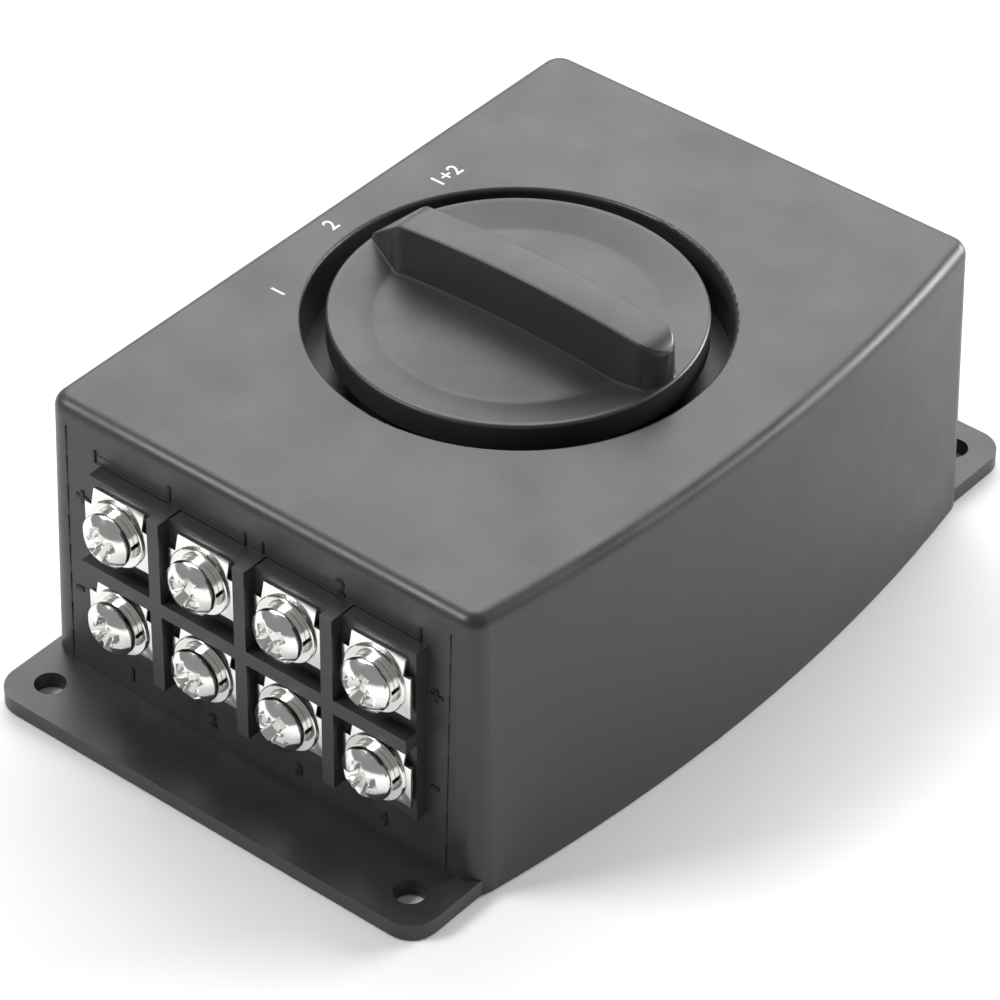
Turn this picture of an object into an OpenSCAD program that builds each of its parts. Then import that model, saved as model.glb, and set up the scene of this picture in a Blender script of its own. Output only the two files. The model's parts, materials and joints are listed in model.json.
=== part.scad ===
// Speaker selector switch: a flanged moulded box with a rotary selector
// in its top and rows of screw terminals on its two end walls.
// Units are millimetres. +Z is up, the front terminals face -Y, and the
// origin is on the base, midway between the four mounting holes.

/* [Box] */
// Width of the box at its ends
body_w = 76; // [72:1:90]
// Length of the box between the end walls
body_l = 110; // [100:1:130]
// Height of the box
body_h = 46; // [44:0.5:60]
// How far the right side bows out at the middle
side_bow = 5.3; // [3:0.1:8]
// Wall thickness
wall = 2.5; // [2:0.1:3.5]
// Draft angle of the outer walls
draft = 1.5; // [0.5:0.1:1.8]
// Radius of the upright corners at their foot
corner_r = 4.1; // [4:0.1:6]
// Radius of the edge round the top
edge_r = 2; // [1:0.1:2.3]

/* [Flanges] */
// How far each flange stands out from its end wall
flange_l = 11.7; // [10:0.1:20]
// Thickness of the flanges
flange_t = 2.5; // [2:0.1:4]
// Radius of the flange corners
flange_corner_r = 4.5; // [2:0.1:5]
// Distance between hole centres across the box
hole_span_x = 64.4; // [58:0.2:66]
// Distance from an end wall to its hole centres
hole_offset = 5.9; // [4.5:0.1:7]
// Diameter of the mounting holes
hole_d = 4.5; // [3.5:0.1:5.5]

/* [Recess and knob] */
// Place of the knob's axis across the box
knob_x = 0; // [-2:0.1:1]
// Place of the knob's axis along the box
knob_y = 0; // [-2:0.1:2]
// Radius of the recess
recess_r = 29.4; // [28:0.1:31]
// Depth of the recess
recess_depth = 8; // [7.6:0.1:8.4]
// Gap between the knob and the recess wall
knob_gap = 3.3; // [2:0.1:5]
// Height of the knob's rim over the top of the box
rim_rise = 1; // [0.6:0.1:2]
// Height of the knob's skirt
skirt_h = 4.3; // [4:0.1:5]
// Fall of the ring from the rim to the foot of the dome
ring_fall = 1; // [0.4:0.1:1.4]
// Radius of the low dome
dome_r = 19.6; // [16:0.1:22]
// Rise of the dome over its foot
dome_rise = 1; // [0.4:0.1:1.5]
// Width of the grip bar along its top
grip_w = 6.2; // [5:0.1:8]
// Widening of the grip bar towards its foot, each side
grip_draft = 0.35; // [0.2:0.05:0.6]
// Height of the grip bar's crest over the top of the box
grip_h = 8.9; // [6:0.1:12]
// Fall of the crest from its highest point to the pointed end
grip_arch = 1.1; // [0.5:0.1:2]
// Place of the crest's highest point along the grip bar
grip_crest_x = 1.5; // [-2:0.1:3]
// Length of the pointed end of the grip bar
grip_point_l = 7.2; // [5:0.1:9]

/* [Terminals] */
// Distance between terminal columns
pitch_x = 15; // [14:0.1:16]
// Distance between terminal rows
pitch_z = 15.2; // [14.6:0.1:15.6]
// Height of the middle between the rows
rows_z = 25; // [24:0.1:27]
// Place of the middle of the front terminals across the box
front_x = 1.3; // [-2:0.05:3]
// How far the pad stands out from the wall
pad_t = 1.4; // [1:0.1:2]
// How far the barriers stand out from the pad
barrier_h = 2.2; // [1:0.1:4]
// Thickness of the barriers
barrier_t = 2; // [1.4:0.1:2.4]
// Thickness of the rib between the rows
rib_t = 2.3; // [1.4:0.1:2.6]
// Diameter of the terminal screws
screw_d = 4; // [3.5:0.1:4]
// Diameter of the terminal screw heads
head_d = 8; // [7:0.1:8.2]
// Width of a clamp plate
clamp_w = 11.4; // [10:0.1:11.8]
// Reach of a clamp plate's upper tab from the screw's axis
clamp_up = 5; // [4.4:0.1:5]

/* [Switch] */
// Angle between neighbouring positions
step_angle = 30; // [20:1:30]
// Diameter of the shaft
shaft_d = 6; // [5:0.1:6.35]
// Thickness of the frame plate
frame_t = 1.5; // [1:0.1:2]
// Distance from the frame plate down to the wafer
wafer_drop = 11.4; // [10:0.1:12.5]
// Thickness of the wafer
wafer_t = 1.6; // [1.2:0.1:2]
// Distance from the axis to each through screw
through_x = 21; // [20:0.1:24]

/* [Hidden] */

$fn = 96;
// Overshoot of cutters past the faces that they cut
over = 1;
// Clearance of pieces that are laid or pushed into place
seat_gap = 0.1;
// Radial clearance of turning and screwed fits
run_gap = 0.05;

// Box
end_y = body_l / 2;
side_x = body_w / 2;
bow_r = (end_y * end_y + side_bow * side_bow) / (2 * side_bow);
bow_x = side_x + side_bow - bow_r;
hole_y = end_y + hole_offset;
// Upright foot of the walls, and their inset at the top
foot_h = 1.2;
draft_run = (body_h - foot_h) * tan(draft);
cavity_inset = wall + draft_run / 2;

// Bottom cover and its screws
cover_t = 1.6;
cover_lip = 1;
cover_gap = 0.15;
boss_r = 3.5;
boss_inset = 6.2;
pilot_depth = 13;
cover_screw_d = 2.8;
cover_head_d = 5.4;
cover_screw_l = 11;
cover_sink_r = cover_head_d / 2 + seat_gap + run_gap;
boss_x = side_x - boss_inset;
boss_y = end_y - boss_inset;

// Recess
recess_z = body_h - recess_depth;
recess_edge_r = 0.6;
floor_t = 2.5;
cup_wall = 2.2;
floor_z = recess_z - floor_t;

// Knob
knob_r = recess_r - knob_gap;
rim_z = body_h + rim_rise;
rim_edge_r = 0.5;
skirt_z = rim_z - skirt_h;
skirt_wall = 2;
ring_z = rim_z - ring_fall;
disc_t = 1.9;
dome_sphere_r = (dome_r * dome_r + dome_rise * dome_rise) / (2 * dome_rise);
hub_r = 5.5;
hub_clear = 0.4;
crest_z = body_h + grip_h;
grip_end_r = grip_w / 2;
grip_reach = knob_r - 0.3;
grip_arch_half = knob_r - grip_point_l;
grip_arch_run = grip_arch_half + grip_crest_x;
grip_arch_r = (grip_arch_run * grip_arch_run + grip_arch * grip_arch) / (2 * grip_arch);
grip_tip_h = 0.6;
grip_end_fall = 1.1;
grip_foot_z = ring_z - 0.4;

// Terminals, measured outwards from the pad face
pad_side = 13.35;
pad_top = pitch_z / 2 + 6.2;
pad_foot = pitch_z / 2 + 7;
insert_r = 3.5;
insert_l = 6.5;
flange_rise = 0.6;
stack_gap = 0.02;
insert_collar_r = 2.6;
clamp_t = 0.5;
clamp_tab_w = 9;
clamp_bend_up = 2.7;
clamp_bend_down = 4.2;
clamp_down = 4.7;
washer_t = 0.6;
washer_r = 5;
spring_t = 0.8;
spring_r = 3.7;
washer_z = flange_rise + clamp_t + stack_gap;
spring_z = washer_z + washer_t + stack_gap;
head_z = spring_z + spring_t + stack_gap;
head_side_h = 1.2;
head_h = 2.6;
slot_w = 1.1;
slot_l = 4.8;
slot_depth = 1.7;
screw_l = 8.5;
tag_w = 4;
tag_t = 0.8;
tag_l = 6;

// Switch, from the frame plate down
frame_z = floor_z - frame_t;
frame_l = 2 * through_x + 9;
frame_w = 26;
bushing_r = 4.5;
washer_lock_t = 0.6;
washer_lock_r = 7.5;
nut_af = 12;
nut_t = 2;
bushing_z = recess_z + washer_lock_t + nut_t + 0.6;
key_pin_r = 1.3;
key_pin_x = 12;
key_pin_h = 1.8;
shaft_r = shaft_d / 2;
shaft_flat = 1.9;
shaft_z0 = frame_z - wafer_drop - 5;
shaft_top = ring_z - 0.6;
flat_z = bushing_z + 0.1;
clip_t = 0.25;
clip_w = 3.6;
clip_z0 = bushing_z + hub_clear + 0.2;
groove_z = shaft_z0 + 1.2;
groove_r = shaft_r - 0.7;
slit_w = 0.8;
wheel_r = 9;
wheel_t = 3.6;
wheel_z = frame_z - 0.7 - wheel_t;
notch_r = 1.5;
arm_r = 13;
arm_half = 8;
pin_r = 1;
pin_path_r = 11.6;
pin_angle = step_angle + arm_half + asin(pin_r / pin_path_r) + 1;
spring_strip_t = 0.4;
spring_half = 13;
spring_lift = 0.3;
spring_foot_l = 3;
spring_foot_w = 3.2;
wafer_top = frame_z - wafer_drop;
wafer_z = wafer_top - wafer_t;
wafer_r = 17;
wafer_ear_r = 3.8;
rotor_r = 9;
rotor_boss_r = 5;
rotor_boss_h = 1.5;
blade_t = 0.35;
blade_r = 11.2;
blade_in_r = 6;
blade_angle = 56;
finger_t = 0.3;
finger_in_r = 9.6;
contact_w = 2.4;
contact_r0 = 12;
contact_r = 19.5;
contact_count = 12;
through_r = 1.5;
spacer_r = 2.6;
through_head_r = 2.75;
through_head_h = 2;
ring_t = 0.6;
ring_r = 5.5;
ring_mouth = 2 * groove_r - 0.2;

// Wires
wire_r = 0.9;
wire_rings = 12;
wire_sides = 8;
wire_gap = 0.15;
wire_lift = 0.35;
turn_near = 8;
turn_far = 20;
tag_lead = 9;

// Terminal n is [place across the pad, place up the pad, end], where the
// end is -1 for the front wall and 1 for the rear one
front_cols = 4;
rear_cols = 2;
rear_x = 0;
function col_x(i, cols) = (i - (cols - 1) / 2) * pitch_x;
function row_z(row) = rows_z + (row == 0 ? 1 : -1) * pitch_z / 2;
terminals = concat(
    [for (row = [0, 1], i = [0 : front_cols - 1]) [front_x + col_x(i, front_cols), row_z(row), -1]],
    [for (row = [0, 1], i = [0 : rear_cols - 1]) [rear_x + col_x(i, rear_cols), row_z(row), 1]]);

// Colours
housing_color = "#3a3b3d";
knob_color = "#343537";
steel_color = "#c9ccd0";
brass_color = "#c8a04a";
board_color = "#8a5a2c";
wire_color = "#b02020";

// Plan of the box, set in by a distance, with true arcs
module box_plan(inset = 0) {
    r = max(corner_r - inset, 0.8);
    x0 = -side_x + inset;
    y1 = end_y - inset;
    arc_r = bow_r - inset;
    // Centre of the corner arc between the end wall and the bow
    cy = y1 - r;
    cx = bow_x + sqrt((arc_r - r) * (arc_r - r) - cy * cy);
    // Where the corner arc leaves the bow
    k = arc_r / (arc_r - r);
    tx = bow_x + (cx - bow_x) * k;
    ty = cy * k;
    sharp_x = bow_x + sqrt(arc_r * arc_r - y1 * y1);
    difference() {
        union() {
            translate([x0, -cy])
                square([r + over, 2 * cy]);
            for (s = [-1, 1])
                translate([x0 + r, s * cy])
                    circle(r);
            intersection() {
                translate([bow_x, 0])
                    circle(arc_r, $fn = 720);
                translate([x0 + r, -y1])
                    square([body_w + 2 * side_bow, 2 * y1]);
            }
        }
        for (s = [-1, 1])
            difference() {
                polygon([[cx, s * cy], [cx, s * (y1 + over)], [sharp_x + over, s * (y1 + over)],
                    [sharp_x + over, s * ty], [tx, s * ty]]);
                translate([cx, s * cy])
                    circle(r);
            }
    }
}

// Section of the waste outside a rounded edge, its corner at the origin
module edge_waste(r) {
    difference() {
        translate([-r, -r])
            square(r + over);
        translate([-r, -r])
            circle(r);
    }
}

// Section of the waste outside a drafted wall and its rounded top edge, with
// the foot of the wall at the origin
module wall_waste() {
    mid_z = body_h - edge_r;
    mid = [-(mid_z - foot_h) * tan(draft) - edge_r / cos(draft), mid_z];
    difference() {
        polygon([[over * tan(draft), foot_h - over], [over, foot_h - over], [over, body_h + over],
            [mid[0], body_h + over], mid, mid + edge_r * [cos(draft), sin(draft)]]);
        translate(mid)
            circle(edge_r);
    }
}

// Waste outside an upright corner, from angle a over angle sweep
module corner_cutter(x, y, a, sweep) {
    translate([x, y, 0])
        rotate([0, 0, a])
            rotate_extrude(angle = sweep)
                translate([corner_r, 0])
                    wall_waste();
}

module both_ends() {
    children();
    mirror([0, 1, 0])
        children();
}

// Box with its walls drafted and the edge round its top rounded: first at the
// corners, then along the bowed and straight runs, of which the straight ones
// overlap the corners a little
module rounded_box() {
    r = corner_r;
    lap = 0.4;
    cy = end_y - r;
    cx = bow_x + sqrt((bow_r - r) * (bow_r - r) - cy * cy);
    bow_a = atan2(cy, cx - bow_x);
    difference() {
        difference() {
            linear_extrude(body_h)
                box_plan();
            both_ends() {
                corner_cutter(cx, cy, bow_a, 90 - bow_a);
                corner_cutter(-side_x + r, cy, 90, 90);
            }
        }
        // Bowed side
        translate([bow_x, 0, 0])
            rotate([0, 0, -bow_a])
                rotate_extrude(angle = 2 * bow_a, $fn = 720)
                    translate([bow_r, 0])
                        wall_waste();
        both_ends()
            translate([-side_x + r - lap, end_y, 0])
                rotate([90, 0, 90])
                    linear_extrude(cx + side_x - r + 2 * lap)
                        wall_waste();
        // Straight side
        translate([-side_x, cy + lap, 0])
            rotate([90, 0, 0])
                linear_extrude(2 * (cy + lap))
                    mirror([1, 0])
                        wall_waste();
    }
}

// Puts its children on a terminal's axis, +Z outwards from the pad face
// and +Y up the wall
module at_terminal(t) {
    translate([t[0], t[2] * (end_y + pad_t), t[1]])
        rotate([90, 0, t[2] < 0 ? 0 : 180])
            children();
}

// Pad, barriers and rib of a block of terminals
module terminal_block(mid_x, cols, s) {
    half = (cols - 2) / 2 * pitch_x + pad_side;
    z0 = rows_z - pad_foot;
    z1 = rows_z + pad_top;
    translate([mid_x, s * end_y, 0])
        mirror([0, s < 0 ? 0 : 1, 0]) {
            translate([-half, -pad_t, z0])
                cube([2 * half, pad_t + wall, z1 - z0]);
            for (i = [1 : cols - 1])
                translate([(i - cols / 2) * pitch_x - barrier_t / 2, -pad_t - barrier_h, z0])
                    cube([barrier_t, pad_t + barrier_h + wall, z1 - z0 + 0.2]);
            translate([-half, -pad_t - barrier_h, rows_z - 0.5 - rib_t / 2])
                cube([2 * half, pad_t + barrier_h + wall, rib_t]);
        }
}

// Places of the bottom cover's screws
module at_bosses() {
    for (sx = [-1, 1], sy = [-1, 1])
        translate([sx * boss_x, sy * boss_y, 0])
            children();
}

module flange_plate() {
    linear_extrude(flange_t)
        difference() {
            union() {
                square([body_w - 2 * flange_corner_r, body_l + 2 * flange_l], center = true);
                square([body_w, body_l + 2 * flange_l - 2 * flange_corner_r], center = true);
                for (sx = [-1, 1], sy = [-1, 1])
                    translate([sx * (side_x - flange_corner_r), sy * (end_y + flange_l - flange_corner_r)])
                        circle(flange_corner_r);
            }
            for (sx = [-1, 1], sy = [-1, 1])
                translate([sx * hole_span_x / 2, sy * hole_y])
                    circle(hole_d / 2);
        }
}

module housing() {
    color(housing_color)
        difference() {
            union() {
                rounded_box();
                flange_plate();
                terminal_block(front_x, front_cols, -1);
                terminal_block(rear_x, rear_cols, 1);
            }
            // Inside, round the cup and the screw bosses
            difference() {
                translate([0, 0, -over])
                    linear_extrude(body_h - wall + over)
                        box_plan(cavity_inset);
                translate([knob_x, knob_y, floor_z])
                    cylinder(r = recess_r + cup_wall, h = body_h);
                at_bosses()
                    translate([0, 0, cover_t])
                        cylinder(r = boss_r, h = body_h);
            }
            // Rebate of the bottom cover
            translate([0, 0, -over])
                linear_extrude(cover_t + over)
                    box_plan(wall - cover_lip);
            at_bosses()
                cylinder(d = cover_screw_d + 2 * run_gap, h = cover_t + pilot_depth);
            // Recess, its rounded edge and the holes in its floor
            translate([knob_x, knob_y, 0]) {
                translate([0, 0, recess_z])
                    cylinder(r = recess_r, h = body_h);
                translate([0, 0, body_h])
                    rotate_extrude()
                        translate([recess_r, 0])
                            mirror([1, 0])
                                edge_waste(recess_edge_r);
                translate([0, 0, floor_z - over])
                    cylinder(r = bushing_r + seat_gap, h = floor_t + 2 * over);
                translate([key_pin_x, 0, floor_z - over])
                    cylinder(r = key_pin_r + seat_gap, h = key_pin_h + over + 0.1);
            }
            for (t = terminals)
                at_terminal(t)
                    translate([0, 0, -insert_l])
                        cylinder(r = insert_r + run_gap, h = insert_l + over);
        }
}

module bottom_cover() {
    color(housing_color)
        difference() {
            linear_extrude(cover_t)
                box_plan(wall - cover_lip + cover_gap);
            at_bosses() {
                translate([0, 0, -over])
                    cylinder(d = cover_screw_d + 4 * run_gap, h = cover_t + 2 * over);
                cylinder(r1 = cover_sink_r, r2 = 0, h = cover_sink_r);
            }
        }
}

module cover_screws() {
    color(steel_color)
        at_bosses()
            translate([0, 0, seat_gap])
                difference() {
                    union() {
                        cylinder(d1 = cover_head_d, d2 = cover_screw_d, h = (cover_head_d - cover_screw_d) / 2);
                        cylinder(d = cover_screw_d, h = cover_screw_l);
                    }
                    for (a = [0, 90])
                        rotate([0, 0, a])
                            translate([-cover_head_d / 4, -slit_w / 2, -over])
                                cube([cover_head_d / 2, 0.8, over + 0.9]);
                }
}

// Threaded insert with its contact collar and solder tag
module insert() {
    difference() {
        union() {
            translate([0, 0, -insert_l])
                cylinder(r = insert_r, h = insert_l);
            cylinder(r = insert_collar_r, h = flange_rise);
            translate([-tag_w / 2, insert_r - tag_t - 0.3, -insert_l - tag_l])
                cube([tag_w, tag_t, tag_l + 1]);
            translate([0, 0, -over])
                cylinder(r = insert_collar_r, h = over + 0.1);
        }
        translate([0, 0, -insert_l - over])
            cylinder(d = screw_d + 2 * run_gap, h = insert_l + flange_rise + 2 * over);
        translate([0, 0, -insert_l - tag_l + 1.6])
            rotate([-90, 0, 0])
                cylinder(r = 0.8, h = insert_r + over);
    }
}

module terminal_inserts() {
    color(brass_color)
        for (t = terminals)
            at_terminal(t)
                insert();
}

// Clamp plate with turned-back tabs, flat washer and split washer
module terminal_clamp(i) {
    t = terminals[i - 1];
    toe = stack_gap;
    crown = flange_rise + clamp_t;
    color(steel_color)
        at_terminal(t) {
            difference() {
                union() {
                    translate([-clamp_w / 2, -clamp_bend_down, flange_rise])
                        cube([clamp_w, clamp_bend_down + clamp_bend_up, clamp_t]);
                    translate([-clamp_tab_w / 2, 0, 0])
                        rotate([90, 0, 90])
                            linear_extrude(clamp_tab_w)
                                polygon([[-clamp_down, toe], [-clamp_bend_down, flange_rise],
                                    [clamp_bend_up, flange_rise], [clamp_up, toe], [clamp_up, toe + clamp_t],
                                    [clamp_bend_up, crown], [-clamp_bend_down, crown], [-clamp_down, toe + clamp_t]]);
                }
                translate([0, 0, -over])
                    cylinder(d = screw_d + 0.4, h = crown + 2 * over);
            }
            translate([0, 0, washer_z])
                difference() {
                    cylinder(r = washer_r, h = washer_t);
                    translate([0, 0, -over])
                        cylinder(d = screw_d + 0.4, h = washer_t + 2 * over);
                }
            translate([0, 0, spring_z])
                rotate_extrude(angle = 348)
                    translate([screw_d / 2 + 0.2, 0])
                        square([spring_r - screw_d / 2 - 0.2, spring_t]);
        }
}

// Pan-head screw with a cross recess
module terminal_screw(i) {
    dome_h = head_h - head_side_h;
    dome = (head_d * head_d / 4 + dome_h * dome_h) / (2 * dome_h);
    color(steel_color)
        at_terminal(terminals[i - 1])
            difference() {
                union() {
                    translate([0, 0, head_z - screw_l])
                        cylinder(d = screw_d, h = screw_l);
                    intersection() {
                        translate([0, 0, head_z])
                            cylinder(d = head_d, h = head_h);
                        translate([0, 0, head_z + head_h - dome])
                            sphere(dome);
                    }
                }
                for (a = [0, 90])
                    rotate([0, 0, a])
                        translate([-slot_l / 2, -slot_w / 2, head_z + head_h - slot_depth])
                            cube([slot_l, slot_w, slot_depth + over]);
            }
}

// Outline of the grip bar, widened by w each side of its top width
module grip_plan(w) {
    half = grip_end_r + w;
    difference() {
        union() {
            translate([-grip_reach, -half])
                square([2 * grip_reach - half, 2 * half]);
            translate([grip_reach - half, 0])
                circle(half);
        }
        for (s = [-1, 1])
            polygon([[-grip_reach - over, 0], [-grip_reach, 0], [-grip_reach + grip_point_l, s * half],
                [-grip_reach + grip_point_l, s * (half + over)], [-grip_reach - over, s * (half + over)]]);
    }
}

// Grip bar: drafted sides, arched crest, sloping point and rounded end
module grip_bar() {
    top = crest_z;
    foot = grip_foot_z;
    intersection() {
        hull() {
            translate([0, 0, foot])
                linear_extrude(0.01)
                    grip_plan(grip_draft, $fn = 48);
            translate([0, 0, top])
                linear_extrude(0.01)
                    grip_plan(0, $fn = 48);
        }
        // Crest
        translate([grip_crest_x, 0, top - grip_arch_r])
            rotate([90, 0, 0])
                cylinder(r = grip_arch_r, h = 4 * grip_w, center = true, $fn = 360);
        // Slope down to the point
        rotate([90, 0, 0])
            linear_extrude(4 * grip_w, center = true)
                polygon([[-grip_reach, foot], [-grip_reach, rim_z + grip_tip_h],
                    [-grip_arch_half, top - grip_arch], [-grip_arch_half, top + over],
                    [grip_reach - grip_end_r, top + over],
                    [grip_reach, top - grip_arch - grip_end_fall], [grip_reach, foot]]);
    }
}

module knob() {
    color(knob_color)
        translate([knob_x, knob_y, 0])
            difference() {
                union() {
                    rotate_extrude($fn = 180)
                        polygon([[0, ring_z - disc_t], [knob_r - skirt_wall, ring_z - disc_t],
                            [knob_r - skirt_wall, skirt_z], [knob_r, skirt_z],
                            [knob_r, rim_z - rim_edge_r], [knob_r - rim_edge_r, rim_z],
                            [dome_r, ring_z], [0, ring_z]]);
                    intersection() {
                        translate([0, 0, ring_z + dome_rise - dome_sphere_r])
                            sphere(dome_sphere_r, $fn = 180);
                        translate([0, 0, ring_z - disc_t])
                            cylinder(r = dome_r, h = disc_t + 2 * dome_rise, $fn = 180);
                    }
                    translate([0, 0, bushing_z + hub_clear])
                        cylinder(r = hub_r, h = ring_z - bushing_z - hub_clear);
                    grip_bar();
                }
                // Socket for the shaft, with a flat for the clip
                intersection() {
                    translate([0, 0, bushing_z])
                        cylinder(r = shaft_r + run_gap, h = shaft_top + seat_gap - bushing_z);
                    translate([-2 * shaft_r, -shaft_r - over, 0])
                        cube([2 * shaft_r + shaft_flat + clip_t + run_gap, 2 * shaft_r + 2 * over, body_h + over]);
                }
            }
}

module knob_clip() {
    color(steel_color)
        translate([knob_x + shaft_flat + run_gap / 2, knob_y - clip_w / 2, clip_z0])
            cube([clip_t, clip_w, shaft_top - clip_z0]);
}

module shaft() {
    drive_top = wheel_z + wheel_t;
    color(steel_color)
        translate([knob_x, knob_y, 0])
            difference() {
                translate([0, 0, shaft_z0])
                    cylinder(r = shaft_r, h = shaft_top - shaft_z0);
                // Flats for the knob and for the wheel and rotor
                translate([shaft_flat, -shaft_r - over, flat_z])
                    cube([shaft_r, 2 * shaft_r + 2 * over, body_h]);
                translate([shaft_flat, -shaft_r - over, shaft_z0 - over])
                    cube([shaft_r, 2 * shaft_r + 2 * over, drive_top - shaft_z0 + over]);
                // Groove of the retaining clip
                translate([0, 0, groove_z])
                    difference() {
                        cylinder(r = shaft_r + over, h = ring_t + 2 * run_gap);
                        translate([0, 0, -over])
                            cylinder(r = groove_r, h = ring_t + 2 * over);
                    }
            }
}

// Shaft hole with its flat, through a piece on the shaft
module drive_hole(h) {
    intersection() {
        translate([0, 0, -over])
            cylinder(r = shaft_r + run_gap / 2, h = h + 2 * over);
        translate([-2 * shaft_r, -shaft_r - over, -over])
            cube([2 * shaft_r + shaft_flat + run_gap / 2, 2 * shaft_r + 2 * over, h + 2 * over]);
    }
}

module switch_frame() {
    color(steel_color)
        translate([knob_x, knob_y, frame_z])
            difference() {
                union() {
                    linear_extrude(frame_t)
                        intersection() {
                            square([frame_l, frame_w], center = true);
                            circle(frame_l / 2);
                        }
                    cylinder(r = bushing_r, h = bushing_z - frame_z);
                    translate([key_pin_x, 0, 0])
                        cylinder(r = key_pin_r, h = frame_t + key_pin_h);
                }
                translate([0, 0, -over])
                    cylinder(r = shaft_r + run_gap, h = bushing_z - frame_z + 2 * over);
                for (s = [-1, 1]) {
                    translate([s * through_x, 0, -over])
                        cylinder(r = through_r + run_gap, h = frame_t + 2 * over);
                    rotate([0, 0, s * pin_angle])
                        translate([pin_path_r, 0, -over])
                            cylinder(r = pin_r + run_gap, h = frame_t + 2 * over);
                }
            }
}

module panel_nut() {
    color(steel_color)
        translate([knob_x, knob_y, recess_z + washer_lock_t])
            difference() {
                intersection() {
                    cylinder(d = nut_af / cos(30), h = nut_t, $fn = 6);
                    translate([0, 0, -nut_af / 2 + 0.9])
                        cylinder(r1 = nut_af + 0.4, r2 = nut_af / 2 + 0.1, h = nut_af / 2 + nut_t - 0.9);
                }
                translate([0, 0, -over])
                    cylinder(r = bushing_r + run_gap, h = nut_t + 2 * over);
            }
}

module lock_washer() {
    color(steel_color)
        translate([knob_x, knob_y, recess_z])
            linear_extrude(washer_lock_t)
                difference() {
                    circle(washer_lock_r);
                    circle(bushing_r + run_gap);
                    for (a = [0 : 30 : 330])
                        rotate([0, 0, a])
                            translate([bushing_r, -0.5])
                                square([1.4, 1]);
                }
}

module stop_pins() {
    color(steel_color)
        translate([knob_x, knob_y, 0])
            for (s = [-1, 1])
                rotate([0, 0, s * pin_angle])
                    translate([pin_path_r, 0, wheel_z])
                        cylinder(r = pin_r, h = frame_z + frame_t - wheel_z);
}

// Wheel with three notches and the stop arm
module detent_wheel() {
    color("#d8d5c8")
        translate([knob_x, knob_y, wheel_z])
            difference() {
                linear_extrude(wheel_t)
                    difference() {
                        union() {
                            circle(wheel_r);
                            intersection() {
                                circle(arm_r);
                                polygon([[0, 0], arm_r * 1.2 * [cos(arm_half), -sin(arm_half)],
                                    arm_r * 1.2 * [cos(arm_half), sin(arm_half)]]);
                            }
                        }
                        for (k = [-1, 0, 1])
                            rotate([0, 0, -90 + k * step_angle])
                                translate([wheel_r + 0.3, 0])
                                    circle(notch_r);
                    }
                drive_hole(wheel_t);
            }
}

// Leaf spring whose nose rests in the middle notch
module detent_spring() {
    nose_y = -wheel_r - 0.3;
    strip_y = -wheel_r - 1.4;
    leg_h = frame_z - wheel_z - spring_lift;
    strip_h = wheel_t - 2 * spring_lift;
    color(steel_color)
        translate([knob_x, knob_y, 0]) {
            translate([0, 0, wheel_z + spring_lift])
                linear_extrude(strip_h)
                    difference() {
                        union() {
                            translate([-spring_half, strip_y - spring_strip_t])
                                square([2 * spring_half, spring_strip_t]);
                            translate([0, nose_y])
                                circle(notch_r - 0.1);
                        }
                        translate([0, nose_y])
                            circle(notch_r - 0.1 - spring_strip_t);
                        translate([-notch_r, strip_y - spring_strip_t - 2 * over])
                            square([2 * notch_r, 2 * over]);
                    }
            // Feet under the frame plate
            for (s = [-1, 1])
                translate([s * (spring_half - spring_foot_l / 2), strip_y - spring_strip_t,
                    wheel_z + spring_lift])
                    difference() {
                        translate([-spring_foot_l / 2, 0, 0])
                            cube([spring_foot_l, spring_foot_w, leg_h]);
                        translate([-spring_foot_l, spring_strip_t, -over])
                            cube([2 * spring_foot_l, spring_foot_w, leg_h + over - spring_strip_t]);
                    }
        }
}

module at_through_screws() {
    for (s = [-1, 1])
        translate([knob_x + s * through_x, knob_y, 0])
            children();
}

module spacer_tubes() {
    color(brass_color)
        at_through_screws()
            translate([0, 0, wafer_top])
                difference() {
                    cylinder(r = spacer_r, h = wafer_drop);
                    translate([0, 0, -over])
                        cylinder(r = through_r + seat_gap, h = wafer_drop + 2 * over);
                }
}

module through_screws() {
    color(steel_color)
        at_through_screws()
            translate([0, 0, wafer_z - through_head_h])
                difference() {
                    union() {
                        cylinder(r = through_head_r, h = through_head_h);
                        cylinder(r = through_r, h = through_head_h + wafer_t + wafer_drop + frame_t);
                    }
                    translate([-through_head_r - over, -slit_w / 2, -over])
                        cube([2 * through_head_r + 2 * over, slit_w, over + slit_w]);
                }
}

module stator_wafer() {
    color(board_color)
        translate([knob_x, knob_y, wafer_z])
            linear_extrude(wafer_t)
                difference() {
                    union() {
                        circle(wafer_r);
                        square([2 * through_x, 2 * wafer_ear_r], center = true);
                        for (s = [-1, 1])
                            translate([s * through_x, 0])
                                circle(wafer_ear_r);
                    }
                    circle(rotor_r + 2 * run_gap);
                    for (s = [-1, 1])
                        translate([s * through_x, 0])
                            circle(through_r + seat_gap);
                }
}

function contact_angle(k) = 360 / contact_count * (k + 0.5);

// Twelve clips: a lug on the wafer and a finger over the rotor blades
module fixed_contacts() {
    color(brass_color)
        translate([knob_x, knob_y, wafer_top])
            for (k = [0 : contact_count - 1])
                rotate([0, 0, contact_angle(k)])
                    difference() {
                        union() {
                            translate([contact_r0, -contact_w / 2, 0])
                                cube([contact_r - contact_r0, contact_w, blade_t + 0.05 + finger_t]);
                            translate([finger_in_r, -contact_w / 2 + 0.3, blade_t + 0.05])
                                cube([contact_r0 + 1 - finger_in_r, contact_w - 0.6, finger_t]);
                        }
                        translate([contact_r - 1.4, 0, -over])
                            cylinder(r = 0.6, h = 3 * over);
                    }
}

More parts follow.
